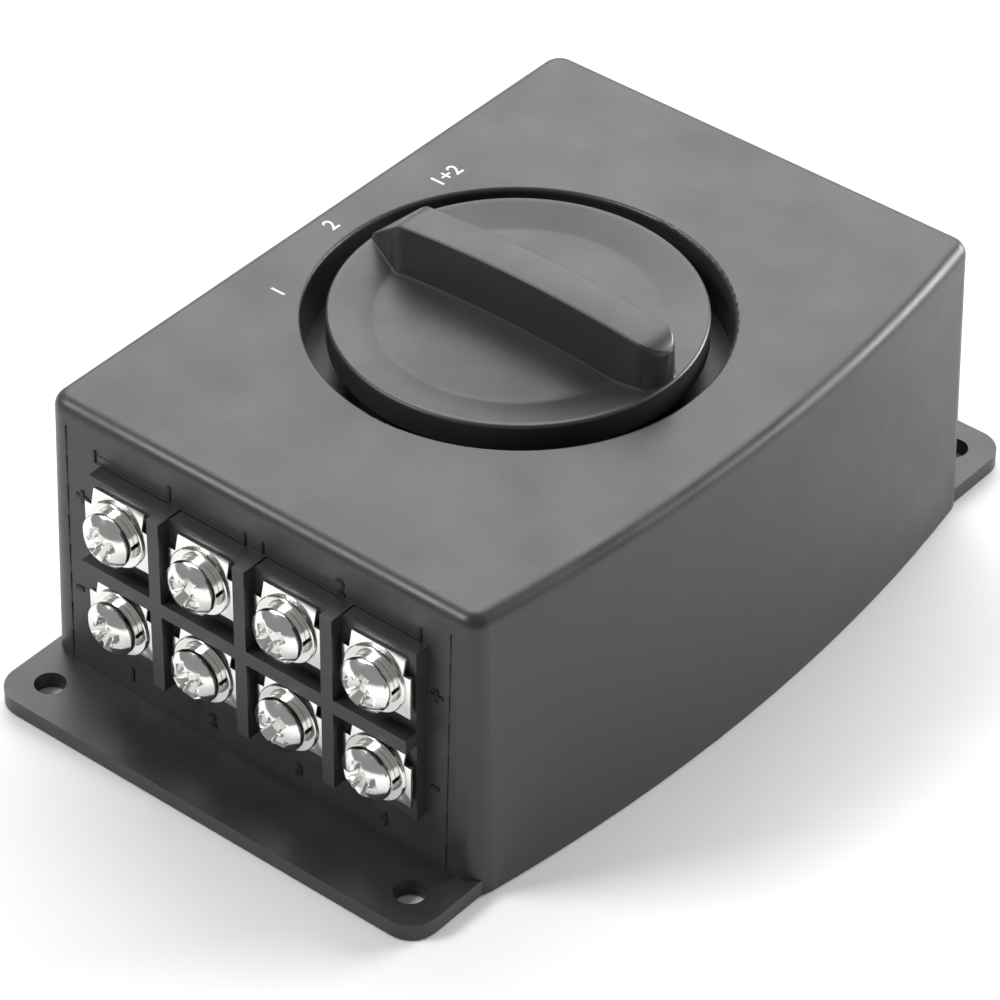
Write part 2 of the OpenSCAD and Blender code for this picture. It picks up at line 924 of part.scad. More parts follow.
module rotor_disc() {
    color("#d8d5c8")
        translate([knob_x, knob_y, wafer_z - rotor_boss_h])
            difference() {
                union() {
                    cylinder(r = rotor_boss_r, h = wafer_t + 2 * rotor_boss_h);
                    translate([0, 0, rotor_boss_h])
                        cylinder(r = rotor_r, h = wafer_t);
                }
                drive_hole(wafer_t + 2 * rotor_boss_h);
            }
}

// Four blades, one for each pole
module rotor_contacts() {
    color(brass_color)
        translate([knob_x, knob_y, wafer_top])
            for (k = [0 : 3])
                rotate([0, 0, 45 + 90 * k - blade_angle / 2])
                    rotate_extrude(angle = blade_angle)
                        translate([blade_in_r, stack_gap])
                            square([blade_r - blade_in_r, blade_t - stack_gap]);
}

module retaining_clip() {
    color(steel_color)
        translate([knob_x, knob_y, groove_z + run_gap])
            linear_extrude(ring_t)
                difference() {
                    circle(ring_r);
                    circle(groove_r + run_gap);
                    translate([0, -ring_mouth / 2])
                        square([ring_r + over, ring_mouth]);
                }
}

// Points of a smooth wire from a to d that leaves along b - a and arrives
// along d - c
function bezier(a, b, c, d, t) =
    pow(1 - t, 3) * a + 3 * t * pow(1 - t, 2) * b + 3 * t * t * (1 - t) * c + pow(t, 3) * d;
function unit(v) = v / norm(v);

module wire(a, b, c, d) {
    path = [for (i = [0 : wire_rings]) bezier(a, b, c, d, i / wire_rings)];
    last = len(path) - 1;
    rings = [for (i = [0 : last])
        let (
            dir = i == 0 ? unit(b - a) : i == last ? unit(d - c) : unit(path[i + 1] - path[i - 1]),
            u = unit(cross(dir, [0.31, 0.23, 1])),
            v = cross(dir, u))
        for (k = [0 : wire_sides - 1])
            path[i] + wire_r * (cos(360 * k / wire_sides) * u + sin(360 * k / wire_sides) * v)];
    n = wire_sides;
    polyhedron(
        points = rings,
        faces = concat(
            [[for (k = [0 : n - 1]) k]],
            [[for (k = [n - 1 : -1 : 0]) last * n + k]],
            [for (i = [0 : last - 1], k = [0 : n - 1]) [i * n + k, (i + 1) * n + k, (i + 1) * n + (k + 1) % n]],
            [for (i = [0 : last - 1], k = [0 : n - 1]) [i * n + k, (i + 1) * n + (k + 1) % n, i * n + (k + 1) % n]]));
}

// Wire from contact k to terminal i, which runs outwards by about reach
// before it turns
module hookup(k, i, reach = turn_near) {
    t = terminals[i - 1];
    a_dir = [cos(contact_angle(k)), sin(contact_angle(k)), 0];
    start = [knob_x, knob_y, wafer_top + wire_lift] + (contact_r + wire_gap) * a_dir;
    s = t[2];
    tag_y = s * (end_y + pad_t - insert_l - tag_l - wire_gap);
    end = [t[0], tag_y, t[1] + insert_r - 0.3 - tag_t / 2];
    wire(start, start + reach * a_dir, end - [0, s * tag_lead, 0], end);
}

module front_wires() {
    color(wire_color) {
        hookup(5, 1, turn_far);
        hookup(6, 5);
        hookup(7, 2);
        hookup(8, 6);
        hookup(9, 7);
        hookup(10, 3);
        hookup(11, 8);
        hookup(0, 4, turn_far);
    }
}

module rear_wires() {
    color(wire_color) {
        hookup(1, 12);
        hookup(2, 10);
        hookup(3, 9);
        hookup(4, 11);
    }
}

housing();
bottom_cover();
cover_screws();
terminal_inserts();
terminal_clamp(1);  // terminal_clamp_1
terminal_clamp(2);  // terminal_clamp_2
terminal_clamp(3);  // terminal_clamp_3
terminal_clamp(4);  // terminal_clamp_4
terminal_clamp(5);  // terminal_clamp_5
terminal_clamp(6);  // terminal_clamp_6
terminal_clamp(7);  // terminal_clamp_7
terminal_clamp(8);  // terminal_clamp_8
terminal_clamp(9);  // terminal_clamp_9
terminal_clamp(10);  // terminal_clamp_10
terminal_clamp(11);  // terminal_clamp_11
terminal_clamp(12);  // terminal_clamp_12
terminal_screw(1);  // terminal_screw_1
terminal_screw(2);  // terminal_screw_2
terminal_screw(3);  // terminal_screw_3
terminal_screw(4);  // terminal_screw_4
terminal_screw(5);  // terminal_screw_5
terminal_screw(6);  // terminal_screw_6
terminal_screw(7);  // terminal_screw_7
terminal_screw(8);  // terminal_screw_8
terminal_screw(9);  // terminal_screw_9
terminal_screw(10);  // terminal_screw_10
terminal_screw(11);  // terminal_screw_11
terminal_screw(12);  // terminal_screw_12
knob();
knob_clip();
shaft();
switch_frame();
panel_nut();
lock_washer();
stop_pins();
detent_wheel();
detent_spring();
spacer_tubes();
through_screws();
stator_wafer();
fixed_contacts();
rotor_disc();
rotor_contacts();
retaining_clip();
front_wires();
rear_wires();
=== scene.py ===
"""Looks of a speaker selector switch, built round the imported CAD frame.

Metres, +Z up, front terminals face -Y. Sizes in the functions are in millimetres.
"""
import json
import math

import bmesh
import bpy
from mathutils import Matrix, Vector


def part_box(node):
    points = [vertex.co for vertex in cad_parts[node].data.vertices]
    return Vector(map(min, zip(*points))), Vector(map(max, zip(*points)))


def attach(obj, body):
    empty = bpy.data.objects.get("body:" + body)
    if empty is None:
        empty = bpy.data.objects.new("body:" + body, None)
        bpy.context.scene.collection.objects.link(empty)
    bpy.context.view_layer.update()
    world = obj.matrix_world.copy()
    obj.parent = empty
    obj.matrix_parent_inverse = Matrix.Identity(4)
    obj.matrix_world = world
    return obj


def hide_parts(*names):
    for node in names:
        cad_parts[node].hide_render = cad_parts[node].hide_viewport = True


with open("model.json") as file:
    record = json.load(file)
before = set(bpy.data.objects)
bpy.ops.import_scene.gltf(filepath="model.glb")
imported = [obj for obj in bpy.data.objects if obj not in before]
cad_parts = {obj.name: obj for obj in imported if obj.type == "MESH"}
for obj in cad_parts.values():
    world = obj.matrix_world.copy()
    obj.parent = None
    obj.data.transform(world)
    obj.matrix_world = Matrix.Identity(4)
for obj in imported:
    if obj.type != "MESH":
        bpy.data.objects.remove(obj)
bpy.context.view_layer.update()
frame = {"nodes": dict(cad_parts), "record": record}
scene = bpy.context.scene
MM = 0.001


def span(name):
    """Lowest and highest corner of a CAD node in millimetres."""
    lo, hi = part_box(name)
    return Vector(lo) / MM, Vector(hi) / MM


# Sizes in millimetres, read off the frame where it shows them
BODY_H = span("housing")[1].z
END_Y, SIDE_X, BOW = 55, 38, 5.3
CORNER_R, EDGE_R = 4.1, 2.0
BOW_R = (END_Y ** 2 + BOW ** 2) / (2 * BOW)
BOW_X = SIDE_X + BOW - BOW_R
CORNER_Y = END_Y - CORNER_R
CORNER_X = BOW_X + math.sqrt((BOW_R - CORNER_R) ** 2 - CORNER_Y ** 2)
FOOT_H, DRAFT = 1.2, math.tan(math.radians(1.5))
PAD_T, PAD_TOP = 1.4, 38.8
KNOB_LO, KNOB_HI = span("knob")
KNOB_X, KNOB_Y = (KNOB_LO.x + KNOB_HI.x) / 2, (KNOB_LO.y + KNOB_HI.y) / 2
KNOB_R = (KNOB_HI.y - KNOB_LO.y) / 2
CREST_Z = KNOB_HI.z
RIM_Z = BODY_H + 1
RING_Z = RIM_Z - 1
DOME_R, DOME_RISE = 19.6, 1.0
SKIRT_Z = RIM_Z - 4.3
DISC_T, SKIRT_WALL = 1.9, 2.0
# The hub ends over the lock washer and the panel nut on the recess floor
RECESS_DEPTH, HUB_LIFT = 8, 3.6
TERMINALS = []
for i in range(1, 13):
    lo, hi = span(f"terminal_screw_{i}")
    TERMINALS.append(((lo.x + hi.x) / 2, (lo.z + hi.z) / 2, 1 if lo.y > 0 else -1))


def wall_y(z):
    """Place of the drafted front wall at a height."""
    return -END_Y + max(z - FOOT_H, 0) * DRAFT


# ---------------------------------------------------------------- materials
def material(name, color, rough=0.5, metallic=0.0):
    m = bpy.data.materials.new(name)
    m.use_nodes = True
    b = m.node_tree.nodes["Principled BSDF"]
    b.inputs["Base Color"].default_value = (*color, 1)
    b.inputs["Roughness"].default_value = rough
    b.inputs["Metallic"].default_value = metallic
    return m


def node(m, kind, **inputs):
    n = m.node_tree.nodes.new(kind)
    for k, v in inputs.items():
        n.inputs[k].default_value = v
    return n


def noise(m, scale, detail=3.0, rough=0.5):
    t = m.node_tree.nodes.new("ShaderNodeTexCoord")
    n = node(m, "ShaderNodeTexNoise", Scale=scale, Detail=detail, Roughness=rough)
    m.node_tree.links.new(t.outputs["Object"], n.inputs["Vector"])
    return n


def bump(m, height, strength, distance, normal=None):
    b = node(m, "ShaderNodeBump", Strength=strength, Distance=distance)
    m.node_tree.links.new(height, b.inputs["Height"])
    if normal:
        m.node_tree.links.new(normal, b.inputs["Normal"])
    return b.outputs["Normal"]


def ramp(m, fac, stops):
    r = m.node_tree.nodes.new("ShaderNodeValToRGB")
    el = r.color_ramp.elements
    while len(el) < len(stops):
        el.new(0.5)
    for e, (pos, col) in zip(el, stops):
        e.position = pos
        e.color = (*col, 1) if len(col) == 3 else col
    m.node_tree.links.new(fac, r.inputs["Fac"])
    return r.outputs["Color"]


def grey(v):
    return (v, v, v)


def plug(m, socket, name):
    m.node_tree.links.new(socket, m.node_tree.nodes["Principled BSDF"].inputs[name])


def plastic(name, color, rough, grain, depth, scale=2600, spread=0.06):
    """Moulded plastic with a fine spark-eroded grain and slow changes of gloss."""
    m = material(name, color, rough)
    fine = noise(m, scale, 2.0, 0.6)
    n1 = bump(m, fine.outputs["Fac"], grain, depth)
    plug(m, n1, "Normal")
    slow = noise(m, 90, 4.0, 0.6)
    gloss = [(0.3, grey(rough - spread)), (0.7, grey(rough + spread))]
    plug(m, ramp(m, slow.outputs["Fac"], gloss), "Roughness")
    shades = [(0.25, tuple(v * 0.9 for v in color)), (0.75, tuple(v * 1.1 for v in color))]
    plug(m, ramp(m, slow.outputs["Fac"], shades), "Base Color")
    return m


def metal(name, color, rough, scratch=0.0, wave=0.0, spread=0.05):
    """Plated metal with faint marks and slow changes of gloss."""
    m = material(name, color, rough, 1.0)
    slow = noise(m, 420, 3.0, 0.6)
    gloss = [(0.3, grey(max(rough - spread, 0.03))), (0.7, grey(rough + spread))]
    plug(m, ramp(m, slow.outputs["Fac"], gloss), "Roughness")
    plug(m, ramp(m, slow.outputs["Fac"], [(0.2, tuple(v * 0.92 for v in color)), (0.8, color)]), "Base Color")
    soft = noise(m, 700, 1.0, 0.4)
    n1 = bump(m, soft.outputs["Fac"], wave, 0.00006)
    marks = noise(m, 5200, 3.0, 0.7)
    n2 = bump(m, marks.outputs["Fac"], scratch, 0.00001, n1)
    plug(m, n2, "Normal")
    return m


housing_mat = plastic("housing_plastic", (0.027, 0.027, 0.0285), 0.40, 0.55, 0.00004)
knob_mat = plastic("knob_plastic", (0.025, 0.025, 0.0265), 0.38, 0.25, 0.00002, 3400)
nickel = metal("nickel_plate", (0.86, 0.85, 0.83), 0.16, 0.12, 0.25)
screw_mat = metal("screw_nickel", (0.84, 0.83, 0.81), 0.14, 0.12, 0.5)
steel = metal("plated_steel", (0.66, 0.66, 0.63), 0.28, 0.25, 0.1)
spring_steel = metal("spring_steel", (0.46, 0.46, 0.47), 0.3, 0.3, 0.1)
brass = metal("brass", (0.78, 0.58, 0.25), 0.24, 0.2, 0.1)
silvered = metal("silvered_brass", (0.82, 0.76, 0.62), 0.24, 0.2, 0.1)
board = plastic("board", (0.27, 0.13, 0.05), 0.55, 0.3, 0.00004, 900)
nylon = plastic("nylon", (0.74, 0.72, 0.63), 0.45, 0.1, 0.00003, 700)
red_wire = plastic("front_wire", (0.45, 0.02, 0.02), 0.35, 0.1, 0.00002, 900)
blue_wire = plastic("rear_wire", (0.03, 0.05, 0.28), 0.35, 0.1, 0.00002, 900)
print_mat = plastic("print_white", (0.62, 0.62, 0.62), 0.5, 0.1, 0.00001, 2400, 0.03)
mark_mat = plastic("moulded_mark", (0.008, 0.008, 0.0085), 0.6, 0.3, 0.00002, 2600, 0.04)

cad_look = {
    "housing_plastic": housing_mat, "knob_plastic": knob_mat, "nickel_plate": nickel,
    "plated_steel": steel, "spring_steel": spring_steel, "brass": brass,
    "silvered_brass": silvered, "board": board, "nylon": nylon,
    "front_wire": red_wire, "rear_wire": blue_wire}
for sub in frame["record"]["subparts"]:
    ob = frame["nodes"][sub["node"]]
    ob.data.materials.clear()
    ob.data.materials.append(cad_look[sub["material_slot"]])


# ---------------------------------------------------------------- mesh helpers
def link(name, me, mat, body, slot_name, *nodes):
    ob = bpy.data.objects.new(name, me)
    scene.collection.objects.link(ob)
    if mat is not None and not me.materials:
        me.materials.append(mat)
    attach(ob, body)
    if nodes:
        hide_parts(*nodes)
    return ob


def smooth(me, angle=35):
    """Smooth shading that keeps edges over the angle sharp."""
    me.polygons.foreach_set("use_smooth", [True] * len(me.polygons))
    bm = bmesh.new()
    bm.from_mesh(me)
    limit = math.radians(angle)
    for e in bm.edges:
        e.smooth = len(e.link_faces) == 2 and e.calc_face_angle(0) < limit
    bm.to_mesh(me)
    bm.free()
    me.update()
    return me


def revolve(profile, segments=96, closed=False, a0=0.0, a1=2 * math.pi):
    """bmesh of a profile of (r, z) points turned about Z. A point with r 0 is a pole."""
    bm = bmesh.new()
    full = abs(a1 - a0 - 2 * math.pi) < 1e-9
    n = segments if full else segments + 1
    rings = []
    for r, z in profile:
        if r < 1e-9:
            rings.append([bm.verts.new((0, 0, z))])
            continue
        ring = []
        for i in range(n):
            t = i / segments
            a = a0 + (a1 - a0) * t
            ring.append(bm.verts.new((r * math.cos(a), r * math.sin(a), z)))
        rings.append(ring)
    pairs = list(zip(rings, rings[1:])) + ([(rings[-1], rings[0])] if closed else [])
    for ra, rb in pairs:
        for i in range(segments):
            j = (i + 1) % n
            if len(ra) == 1 and len(rb) == 1:
                continue
            if len(ra) == 1:
                bm.faces.new((ra[0], rb[i], rb[j]))
            elif len(rb) == 1:
                bm.faces.new((ra[i], rb[0], ra[j]))
            else:
                bm.faces.new((ra[i], rb[i], rb[j], ra[j]))
    if not full:
        bm.faces.new([r[0] for r in rings])
        bm.faces.new([r[-1] for r in reversed(rings)])
    bmesh.ops.recalc_face_normals(bm, faces=bm.faces)
    return bm


def to_mesh(bm, name):
    me = bpy.data.meshes.new(name)
    bm.to_mesh(me)
    bm.free()
    return me


def boolean(me, others, op):
    """The mesh after an exact boolean with the other meshes."""
    a = bpy.data.objects.new("tmp_a", me)
    scene.collection.objects.link(a)
    tmp = []
    for o in others:
        b = bpy.data.objects.new("tmp_b", o)
        scene.collection.objects.link(b)
        md = a.modifiers.new("b", "BOOLEAN")
        md.operation = op
        md.solver = "EXACT"
        md.object = b
        tmp.append(b)
    bpy.context.view_layer.update()
    dg = bpy.context.evaluated_depsgraph_get()
    out = bpy.data.meshes.new_from_object(a.evaluated_get(dg))
    for o in tmp + [a]:
        bpy.data.objects.remove(o)
    return out


def bevelled(me, width, segments=2, angle=30):
    """The mesh with its sharp edges rounded."""
    a = bpy.data.objects.new("tmp_a", me)
    scene.collection.objects.link(a)
    md = a.modifiers.new("b", "BEVEL")
    md.width = width
    md.segments = segments
    md.limit_method = "ANGLE"
    md.angle_limit = math.radians(angle)
    md.use_clamp_overlap = True
    bpy.context.view_layer.update()
    dg = bpy.context.evaluated_depsgraph_get()
    out = bpy.data.meshes.new_from_object(a.evaluated_get(dg))
    bpy.data.objects.remove(a)
    return out


def prism(points, depth, z0=0.0):
    """bmesh of a polygon extruded; points in its plane."""
    bm = bmesh.new()
    lo = [bm.verts.new((x, y, z0)) for x, y in points]
    hi = [bm.verts.new((x, y, z0 + depth)) for x, y in points]
    n = len(points)
    bm.faces.new(list(reversed(lo)))
    bm.faces.new(hi)
    for i in range(n):
        bm.faces.new((lo[i], lo[(i + 1) % n], hi[(i + 1) % n], hi[i]))
    bmesh.ops.recalc_face_normals(bm, faces=bm.faces)
    return bm


def joined(meshes, name):
    bm = bmesh.new()
    for m in meshes:
        bm.from_mesh(m)
    return to_mesh(bm, name)


def place(me, matrix):
    out = me.copy()
    out.transform(matrix)
    return out


def scaled(me):
    me.transform(Matrix.Scale(MM, 4))
    return me


def at_terminal(t):
    """Matrix, in metres, that puts +Z outwards from the pad face and +Y up the wall."""
    x, z, s = t
    turn = Matrix.Rotation(math.pi / 2, 4, "X")
    if s > 0:
        turn = Matrix.Rotation(math.pi, 4, "Z") @ turn
    return Matrix.Translation(Vector((x, s * (END_Y + PAD_T), z)) * MM) @ turn @ Matrix.Scale(MM, 4)


# ---------------------------------------------------------------- housing
# How near a vertex lies to the radial plane, and how far past the wall, to belong to a flap
PLANE_TOL, WALL_TOL = 0.02, 0.03


def housing_mesh():
    """The housing without the flat flaps that stand on the radial planes through its two bowed corners."""
    bm = bmesh.new()
    bm.from_mesh(frame["nodes"]["housing"].data)
    radial = Vector((CORNER_X - BOW_X, CORNER_Y)).normalized()
    mid_z = BODY_H - EDGE_R
    flaps = []
    for v in bm.verts:
        p = v.co / MM
        d = Vector((p.x - CORNER_X, abs(p.y) - CORNER_Y))
        out = d.dot(radial)
        off_plane = abs(d.x * radial.y - d.y * radial.x)
        if off_plane > PLANE_TOL or out < 0 or p.z < FOOT_H:
            continue
        wall = CORNER_R - (min(p.z, mid_z) - FOOT_H) * DRAFT
        if p.z > mid_z:
            wall += math.sqrt(max(EDGE_R ** 2 - (p.z - mid_z) ** 2, 0)) - EDGE_R * math.hypot(1, DRAFT)
        if out > wall + WALL_TOL:
            flaps.append(v)
    bmesh.ops.delete(bm, geom=flaps, context="VERTS")
    return to_mesh(bm, "housing_trimmed")


link("housing_detail", housing_mesh(), housing_mat, "base", "housing_plastic", "housing")


# ---------------------------------------------------------------- terminals
HEAD_Z, HEAD_H, HEAD_SIDE = 2.56, 2.6, 0.9
HEAD_R = 4.0
HEAD_DOME_H = HEAD_H - HEAD_SIDE
HEAD_SPHERE = (HEAD_R ** 2 + HEAD_DOME_H * HEAD_DOME_H) / (2 * HEAD_DOME_H)


def screw_mesh():
    prof = [(0, HEAD_Z - 8.5), (1.5, HEAD_Z - 8.5), (2, HEAD_Z - 8.0)]
    z = HEAD_Z - 7.9
    while z < HEAD_Z - 0.8:
        prof += [(1.98, z), (1.66, z + 0.35)]
        z += 0.7
    prof += [(1.98, HEAD_Z - 0.3), (1.98, HEAD_Z), (3.86, HEAD_Z), (HEAD_R, HEAD_Z + 0.14),
             (HEAD_R, HEAD_Z + HEAD_SIDE - 0.2)]
    top = HEAD_Z + HEAD_H
    for i in range(0, 15):
        r = 3.93 * (1 - i / 14)
        prof.append((r, top - HEAD_SPHERE + math.sqrt(HEAD_SPHERE * HEAD_SPHERE - r * r)))
    me = to_mesh(revolve(prof, 72), "screw")
    # Cross recess: two slots with sloping ends, a round middle and small corner nicks
    cut = []
    slots = ((0, 2.0, 3.7, 0.9), (90, 2.0, 3.7, 0.9), (45, 1.3, 2.9, 0.36), (135, 1.3, 2.9, 0.36))
    corners = ((-1, -1), (1, -1), (1, 1), (-1, 1))
    for a, deep, ends, side in slots:
        bm = bmesh.new()
        lo, hi = top - deep, top + 0.6
        ring = []
        for zz, half, w in ((lo, ends * 0.42, side * 0.62), (hi, ends * 1.08, side * 1.18)):
            ring.append([bm.verts.new((sx * half, sy * w, zz)) for sx, sy in corners])
        bm.faces.new(list(reversed(ring[0])))
        bm.faces.new(ring[1])
        for i in range(4):
            bm.faces.new((ring[0][i], ring[0][(i + 1) % 4], ring[1][(i + 1) % 4], ring[1][i]))
        bmesh.ops.recalc_face_normals(bm, faces=bm.faces)
        bmesh.ops.rotate(bm, verts=bm.verts, cent=(0, 0, 0), matrix=Matrix.Rotation(math.radians(a), 3, "Z"))
        cut.append(to_mesh(bm, "cut"))
    middle = [(0, top - 2.1), (1.0, top - 1.6), (1.9, top + 0.6), (0, top + 0.6)]
    cut.append(to_mesh(revolve(middle, 24), "cut"))
    me = boolean(me, cut, "DIFFERENCE")
    me = bevelled(me, 0.07, 2, 38)
    return smooth(me, 32)


def strip(path, thick, width):
    """bmesh of a strip that follows (y, z) points, thickened outwards and centred in X."""
    bm = bmesh.new()
    n = len(path)
    rows = []
    for i, (y, z) in enumerate(path):
        a = Vector(path[max(i - 1, 0)])
        b = Vector(path[min(i + 1, n - 1)])
        t = (b - a).normalized()
        nx = Vector((-t.y, t.x)) * thick
        rows.append([bm.verts.new((sx * width / 2, y + k * nx.x, z + k * nx.y))
                     for sx, k in ((-1, 0), (1, 0), (1, 1), (-1, 1))])
    for ra, rb in zip(rows, rows[1:]):
        for i in range(4):
            bm.faces.new((ra[i], ra[(i + 1) % 4], rb[(i + 1) % 4], rb[i]))
    bm.faces.new(list(reversed(rows[0])))
    bm.faces.new(rows[-1])
    bmesh.ops.recalc_face_normals(bm, faces=bm.faces)
    return bm


def clamp_mesh():
    rise, t = 0.6, 0.5
    path = [(-4.7, 0.05), (-4.45, 0.32), (-4.2, 0.55), (-3.95, rise)]
    path += [(2.45, rise), (2.75, 0.56), (3.1, 0.48), (4.95, 0.04)]
    plate = to_mesh(strip(path, t, 9.0), "strip")
    wings = to_mesh(prism([(-5.7, -4.1), (5.7, -4.1), (5.7, 2.6), (-5.7, 2.6)], t, rise), "wings")
    me = boolean(plate, [wings], "UNION")
    hole = to_mesh(revolve([(0, -1), (2.2, -1), (2.2, 3), (0, 3)], 32), "hole")
    me = boolean(me, [hole], "DIFFERENCE")
    me = smooth(bevelled(me, 0.09, 2, 30), 30)
    z = rise + t + 0.02
    flat = [(2.2, z), (4.92, z), (5.0, z + 0.1), (5.0, z + 0.48), (4.88, z + 0.6),
            (2.3, z + 0.6), (2.2, z + 0.5)]
    washer = to_mesh(revolve(flat, 72, True), "washer")
    z += 0.62
    spring = [(2.2, z), (3.66, z), (3.72, z + 0.08), (3.72, z + 0.7), (3.62, z + 0.8),
              (2.3, z + 0.8), (2.2, z + 0.7)]
    split = to_mesh(revolve(spring, 72, True, math.radians(6), math.radians(354)), "split")
    return joined([me, smooth(washer, 30), smooth(split, 30)], "clamp")


screw = screw_mesh()
clamp = clamp_mesh()
TURNS = [20, 62, 38, 71, 8, 33, 52, 14, 27, 80, 45, 5]
for i, (t, turn) in enumerate(zip(TERMINALS, TURNS), 1):
    m = at_terminal(t)
    turned = m @ Matrix.Rotation(math.radians(turn), 4, "Z")
    for kind, me, mat in (("clamp", place(clamp, m), nickel), ("screw", place(screw, turned), screw_mat)):
        name = f"terminal_{kind}_{i}"
        link(f"{name}_detail", me, mat, name, "nickel_plate", name)


# ---------------------------------------------------------------- knob
DOME_SPHERE = (DOME_R ** 2 + DOME_RISE ** 2) / (2 * DOME_RISE)


def knob_face(r):
    """Height of the knob's face at a distance from its axis."""
    if r < DOME_R:
        return RING_Z + DOME_RISE - DOME_SPHERE + math.sqrt(DOME_SPHERE ** 2 - r * r)
    return RING_Z + (RIM_Z - RING_Z) * min((r - DOME_R) / (KNOB_R - 0.5 - DOME_R), 1)


def grip_mesh():
    """Grip bar as a loft along X: pointed at -X, round at +X, with an arched crest and eased edges."""
    reach, tip, half, flare = KNOB_R - 0.3, 7.2, 3.1, 0.35
    top_x = 1.5
    shoulder = -(KNOB_R - tip)
    arch_r = ((shoulder - top_x) ** 2 + 1.1 ** 2) / 2.2
    turn = reach - half
    xs = [-reach + tip * i / 10 for i in range(11)]
    xs += [shoulder + 0.3 + (turn - shoulder - 0.3) * i / 44 for i in range(45)]
    xs += [turn + half * math.sin(math.radians(a)) for a in range(6, 90, 6)] + [reach - 0.004]
    bm = bmesh.new()
    rows = []
    for x in xs:
        crest = CREST_Z - arch_r + math.sqrt(arch_r ** 2 - (x - top_x) ** 2)
        w = half
        if x < shoulder:
            k = (x + reach) / tip
            w = max(half * k, 0.04)
            climb = min(k * tip / (shoulder + reach), 1)
            crest = min(crest, RIM_Z + 0.6 + (CREST_Z - 1.1 - RIM_Z - 0.6) * climb)
        if x > turn:
            u = min((x - turn) / half, 0.9999)
            w = half * math.sqrt(1 - u * u)
            crest -= 1.7 * (1 - math.sqrt(1 - 0.96 * u * u))
        ease = min(0.34 if x < turn else 0.34 + 0.5 * (x - turn) / half, w * 0.9)
        foot_w = w + flare
        base = knob_face(math.hypot(x, foot_w))
        side = [(foot_w + 0.5, base - 0.5), (foot_w + 0.32, base + 0.01), (foot_w + 0.12, base + 0.07),
                (foot_w, base + 0.26)]
        for a in range(0, 91, 18):
            c = math.radians(a)
            side.append((w - ease + ease * math.cos(c), crest - ease + ease * math.sin(c)))
        ring = [(y, z) for y, z in side] + [(-y, z) for y, z in reversed(side)]
        rows.append([bm.verts.new((x, y, z)) for y, z in ring])
    n = len(rows[0])
    for ra, rb in zip(rows, rows[1:]):
        for i in range(n):
            bm.faces.new((ra[i], ra[(i + 1) % n], rb[(i + 1) % n], rb[i]))
    bm.faces.new(list(reversed(rows[0])))
    bm.faces.new(rows[-1])
    bmesh.ops.recalc_face_normals(bm, faces=bm.faces)
    return to_mesh(bm, "grip")


def knob_mesh():
    r = KNOB_R
    under = RING_Z - DISC_T
    prof = [(0, under), (r - SKIRT_WALL - 0.3, under), (r - SKIRT_WALL, under - 0.3),
            (r - SKIRT_WALL, SKIRT_Z), (r - 0.2, SKIRT_Z), (r, SKIRT_Z + 0.2)]
    for a in range(0, 91, 15):
        c = math.radians(a)
        prof.append((r - 0.5 + 0.5 * math.cos(c), RIM_Z - 0.5 + 0.5 * math.sin(c)))
    for k in range(1, 9):
        q = r - 0.5 + (DOME_R + 0.7 - r + 0.5) * k / 8
        prof.append((q, knob_face(q)))
    prof += [(DOME_R + 0.35, knob_face(DOME_R + 0.35) + 0.01), (DOME_R, RING_Z + 0.015)]
    for k in range(1, 25):
        q = DOME_R * (1 - k / 24)
        prof.append((q, knob_face(q)))
    disc = to_mesh(revolve(prof, 192), "disc")
    me = smooth(boolean(disc, [grip_mesh()], "UNION"), 28)
    hub_z = BODY_H - RECESS_DEPTH + HUB_LIFT
    hub = revolve([(3.05, hub_z), (5.3, hub_z), (5.5, hub_z + 0.2), (5.5, under + 0.2),
                   (3.05, under + 0.2)], 64, True)
    me = joined([me, smooth(to_mesh(hub, "hub"), 30)], "knob")
    me.transform(Matrix.Translation((KNOB_X * MM, KNOB_Y * MM, 0)) @ Matrix.Scale(MM, 4))
    return me


link("knob_detail", knob_mesh(), knob_mat, "selector", "knob_plastic", "knob")


# ---------------------------------------------------------------- marks
def text(name, body, size, matrix, mat, depth, bold=0.0):
    """Plain figures as a thin solid on a surface, with +Z of the matrix as its outward direction."""
    cu = bpy.data.curves.new(name, "FONT")
    cu.body = body
    cu.size = size * MM
    cu.align_x = "CENTER"
    cu.align_y = "CENTER"
    cu.extrude = depth * MM
    cu.offset = bold * MM
    cu.resolution_u = 6
    tmp = bpy.data.objects.new("tmp", cu)
    scene.collection.objects.link(tmp)
    bpy.context.view_layer.update()
    me = bpy.data.meshes.new_from_object(tmp.evaluated_get(bpy.context.evaluated_depsgraph_get()))
    bpy.data.objects.remove(tmp)
    me.name = name
    me.transform(matrix)
    me.materials.clear()
    me.materials.append(mat)
    ob = bpy.data.objects.new(name, me)
    scene.collection.objects.link(ob)
    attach(ob, "base")
    return ob


def on_top(x, y):
    """Figures read from the -X side: baseline along +Y, tops towards -X."""
    return Matrix.Translation((x * MM, y * MM, BODY_H * MM)) @ Matrix.Rotation(math.pi / 2, 4, "Z")


def on_front(x, z):
    lean = math.atan(DRAFT)
    return Matrix.Translation((x * MM, wall_y(z) * MM, z * MM)) @ Matrix.Rotation(math.pi / 2 - lean, 4, "X")


for name, body, x, y in (("one", "1", -28.2, -17.0), ("two", "2", -32.9, -0.7), ("both", "1+2", -28.3, 18.7)):
    text(f"label_{name}", body, 3.4, on_top(x, y), print_mat, 0.012, 0.04)

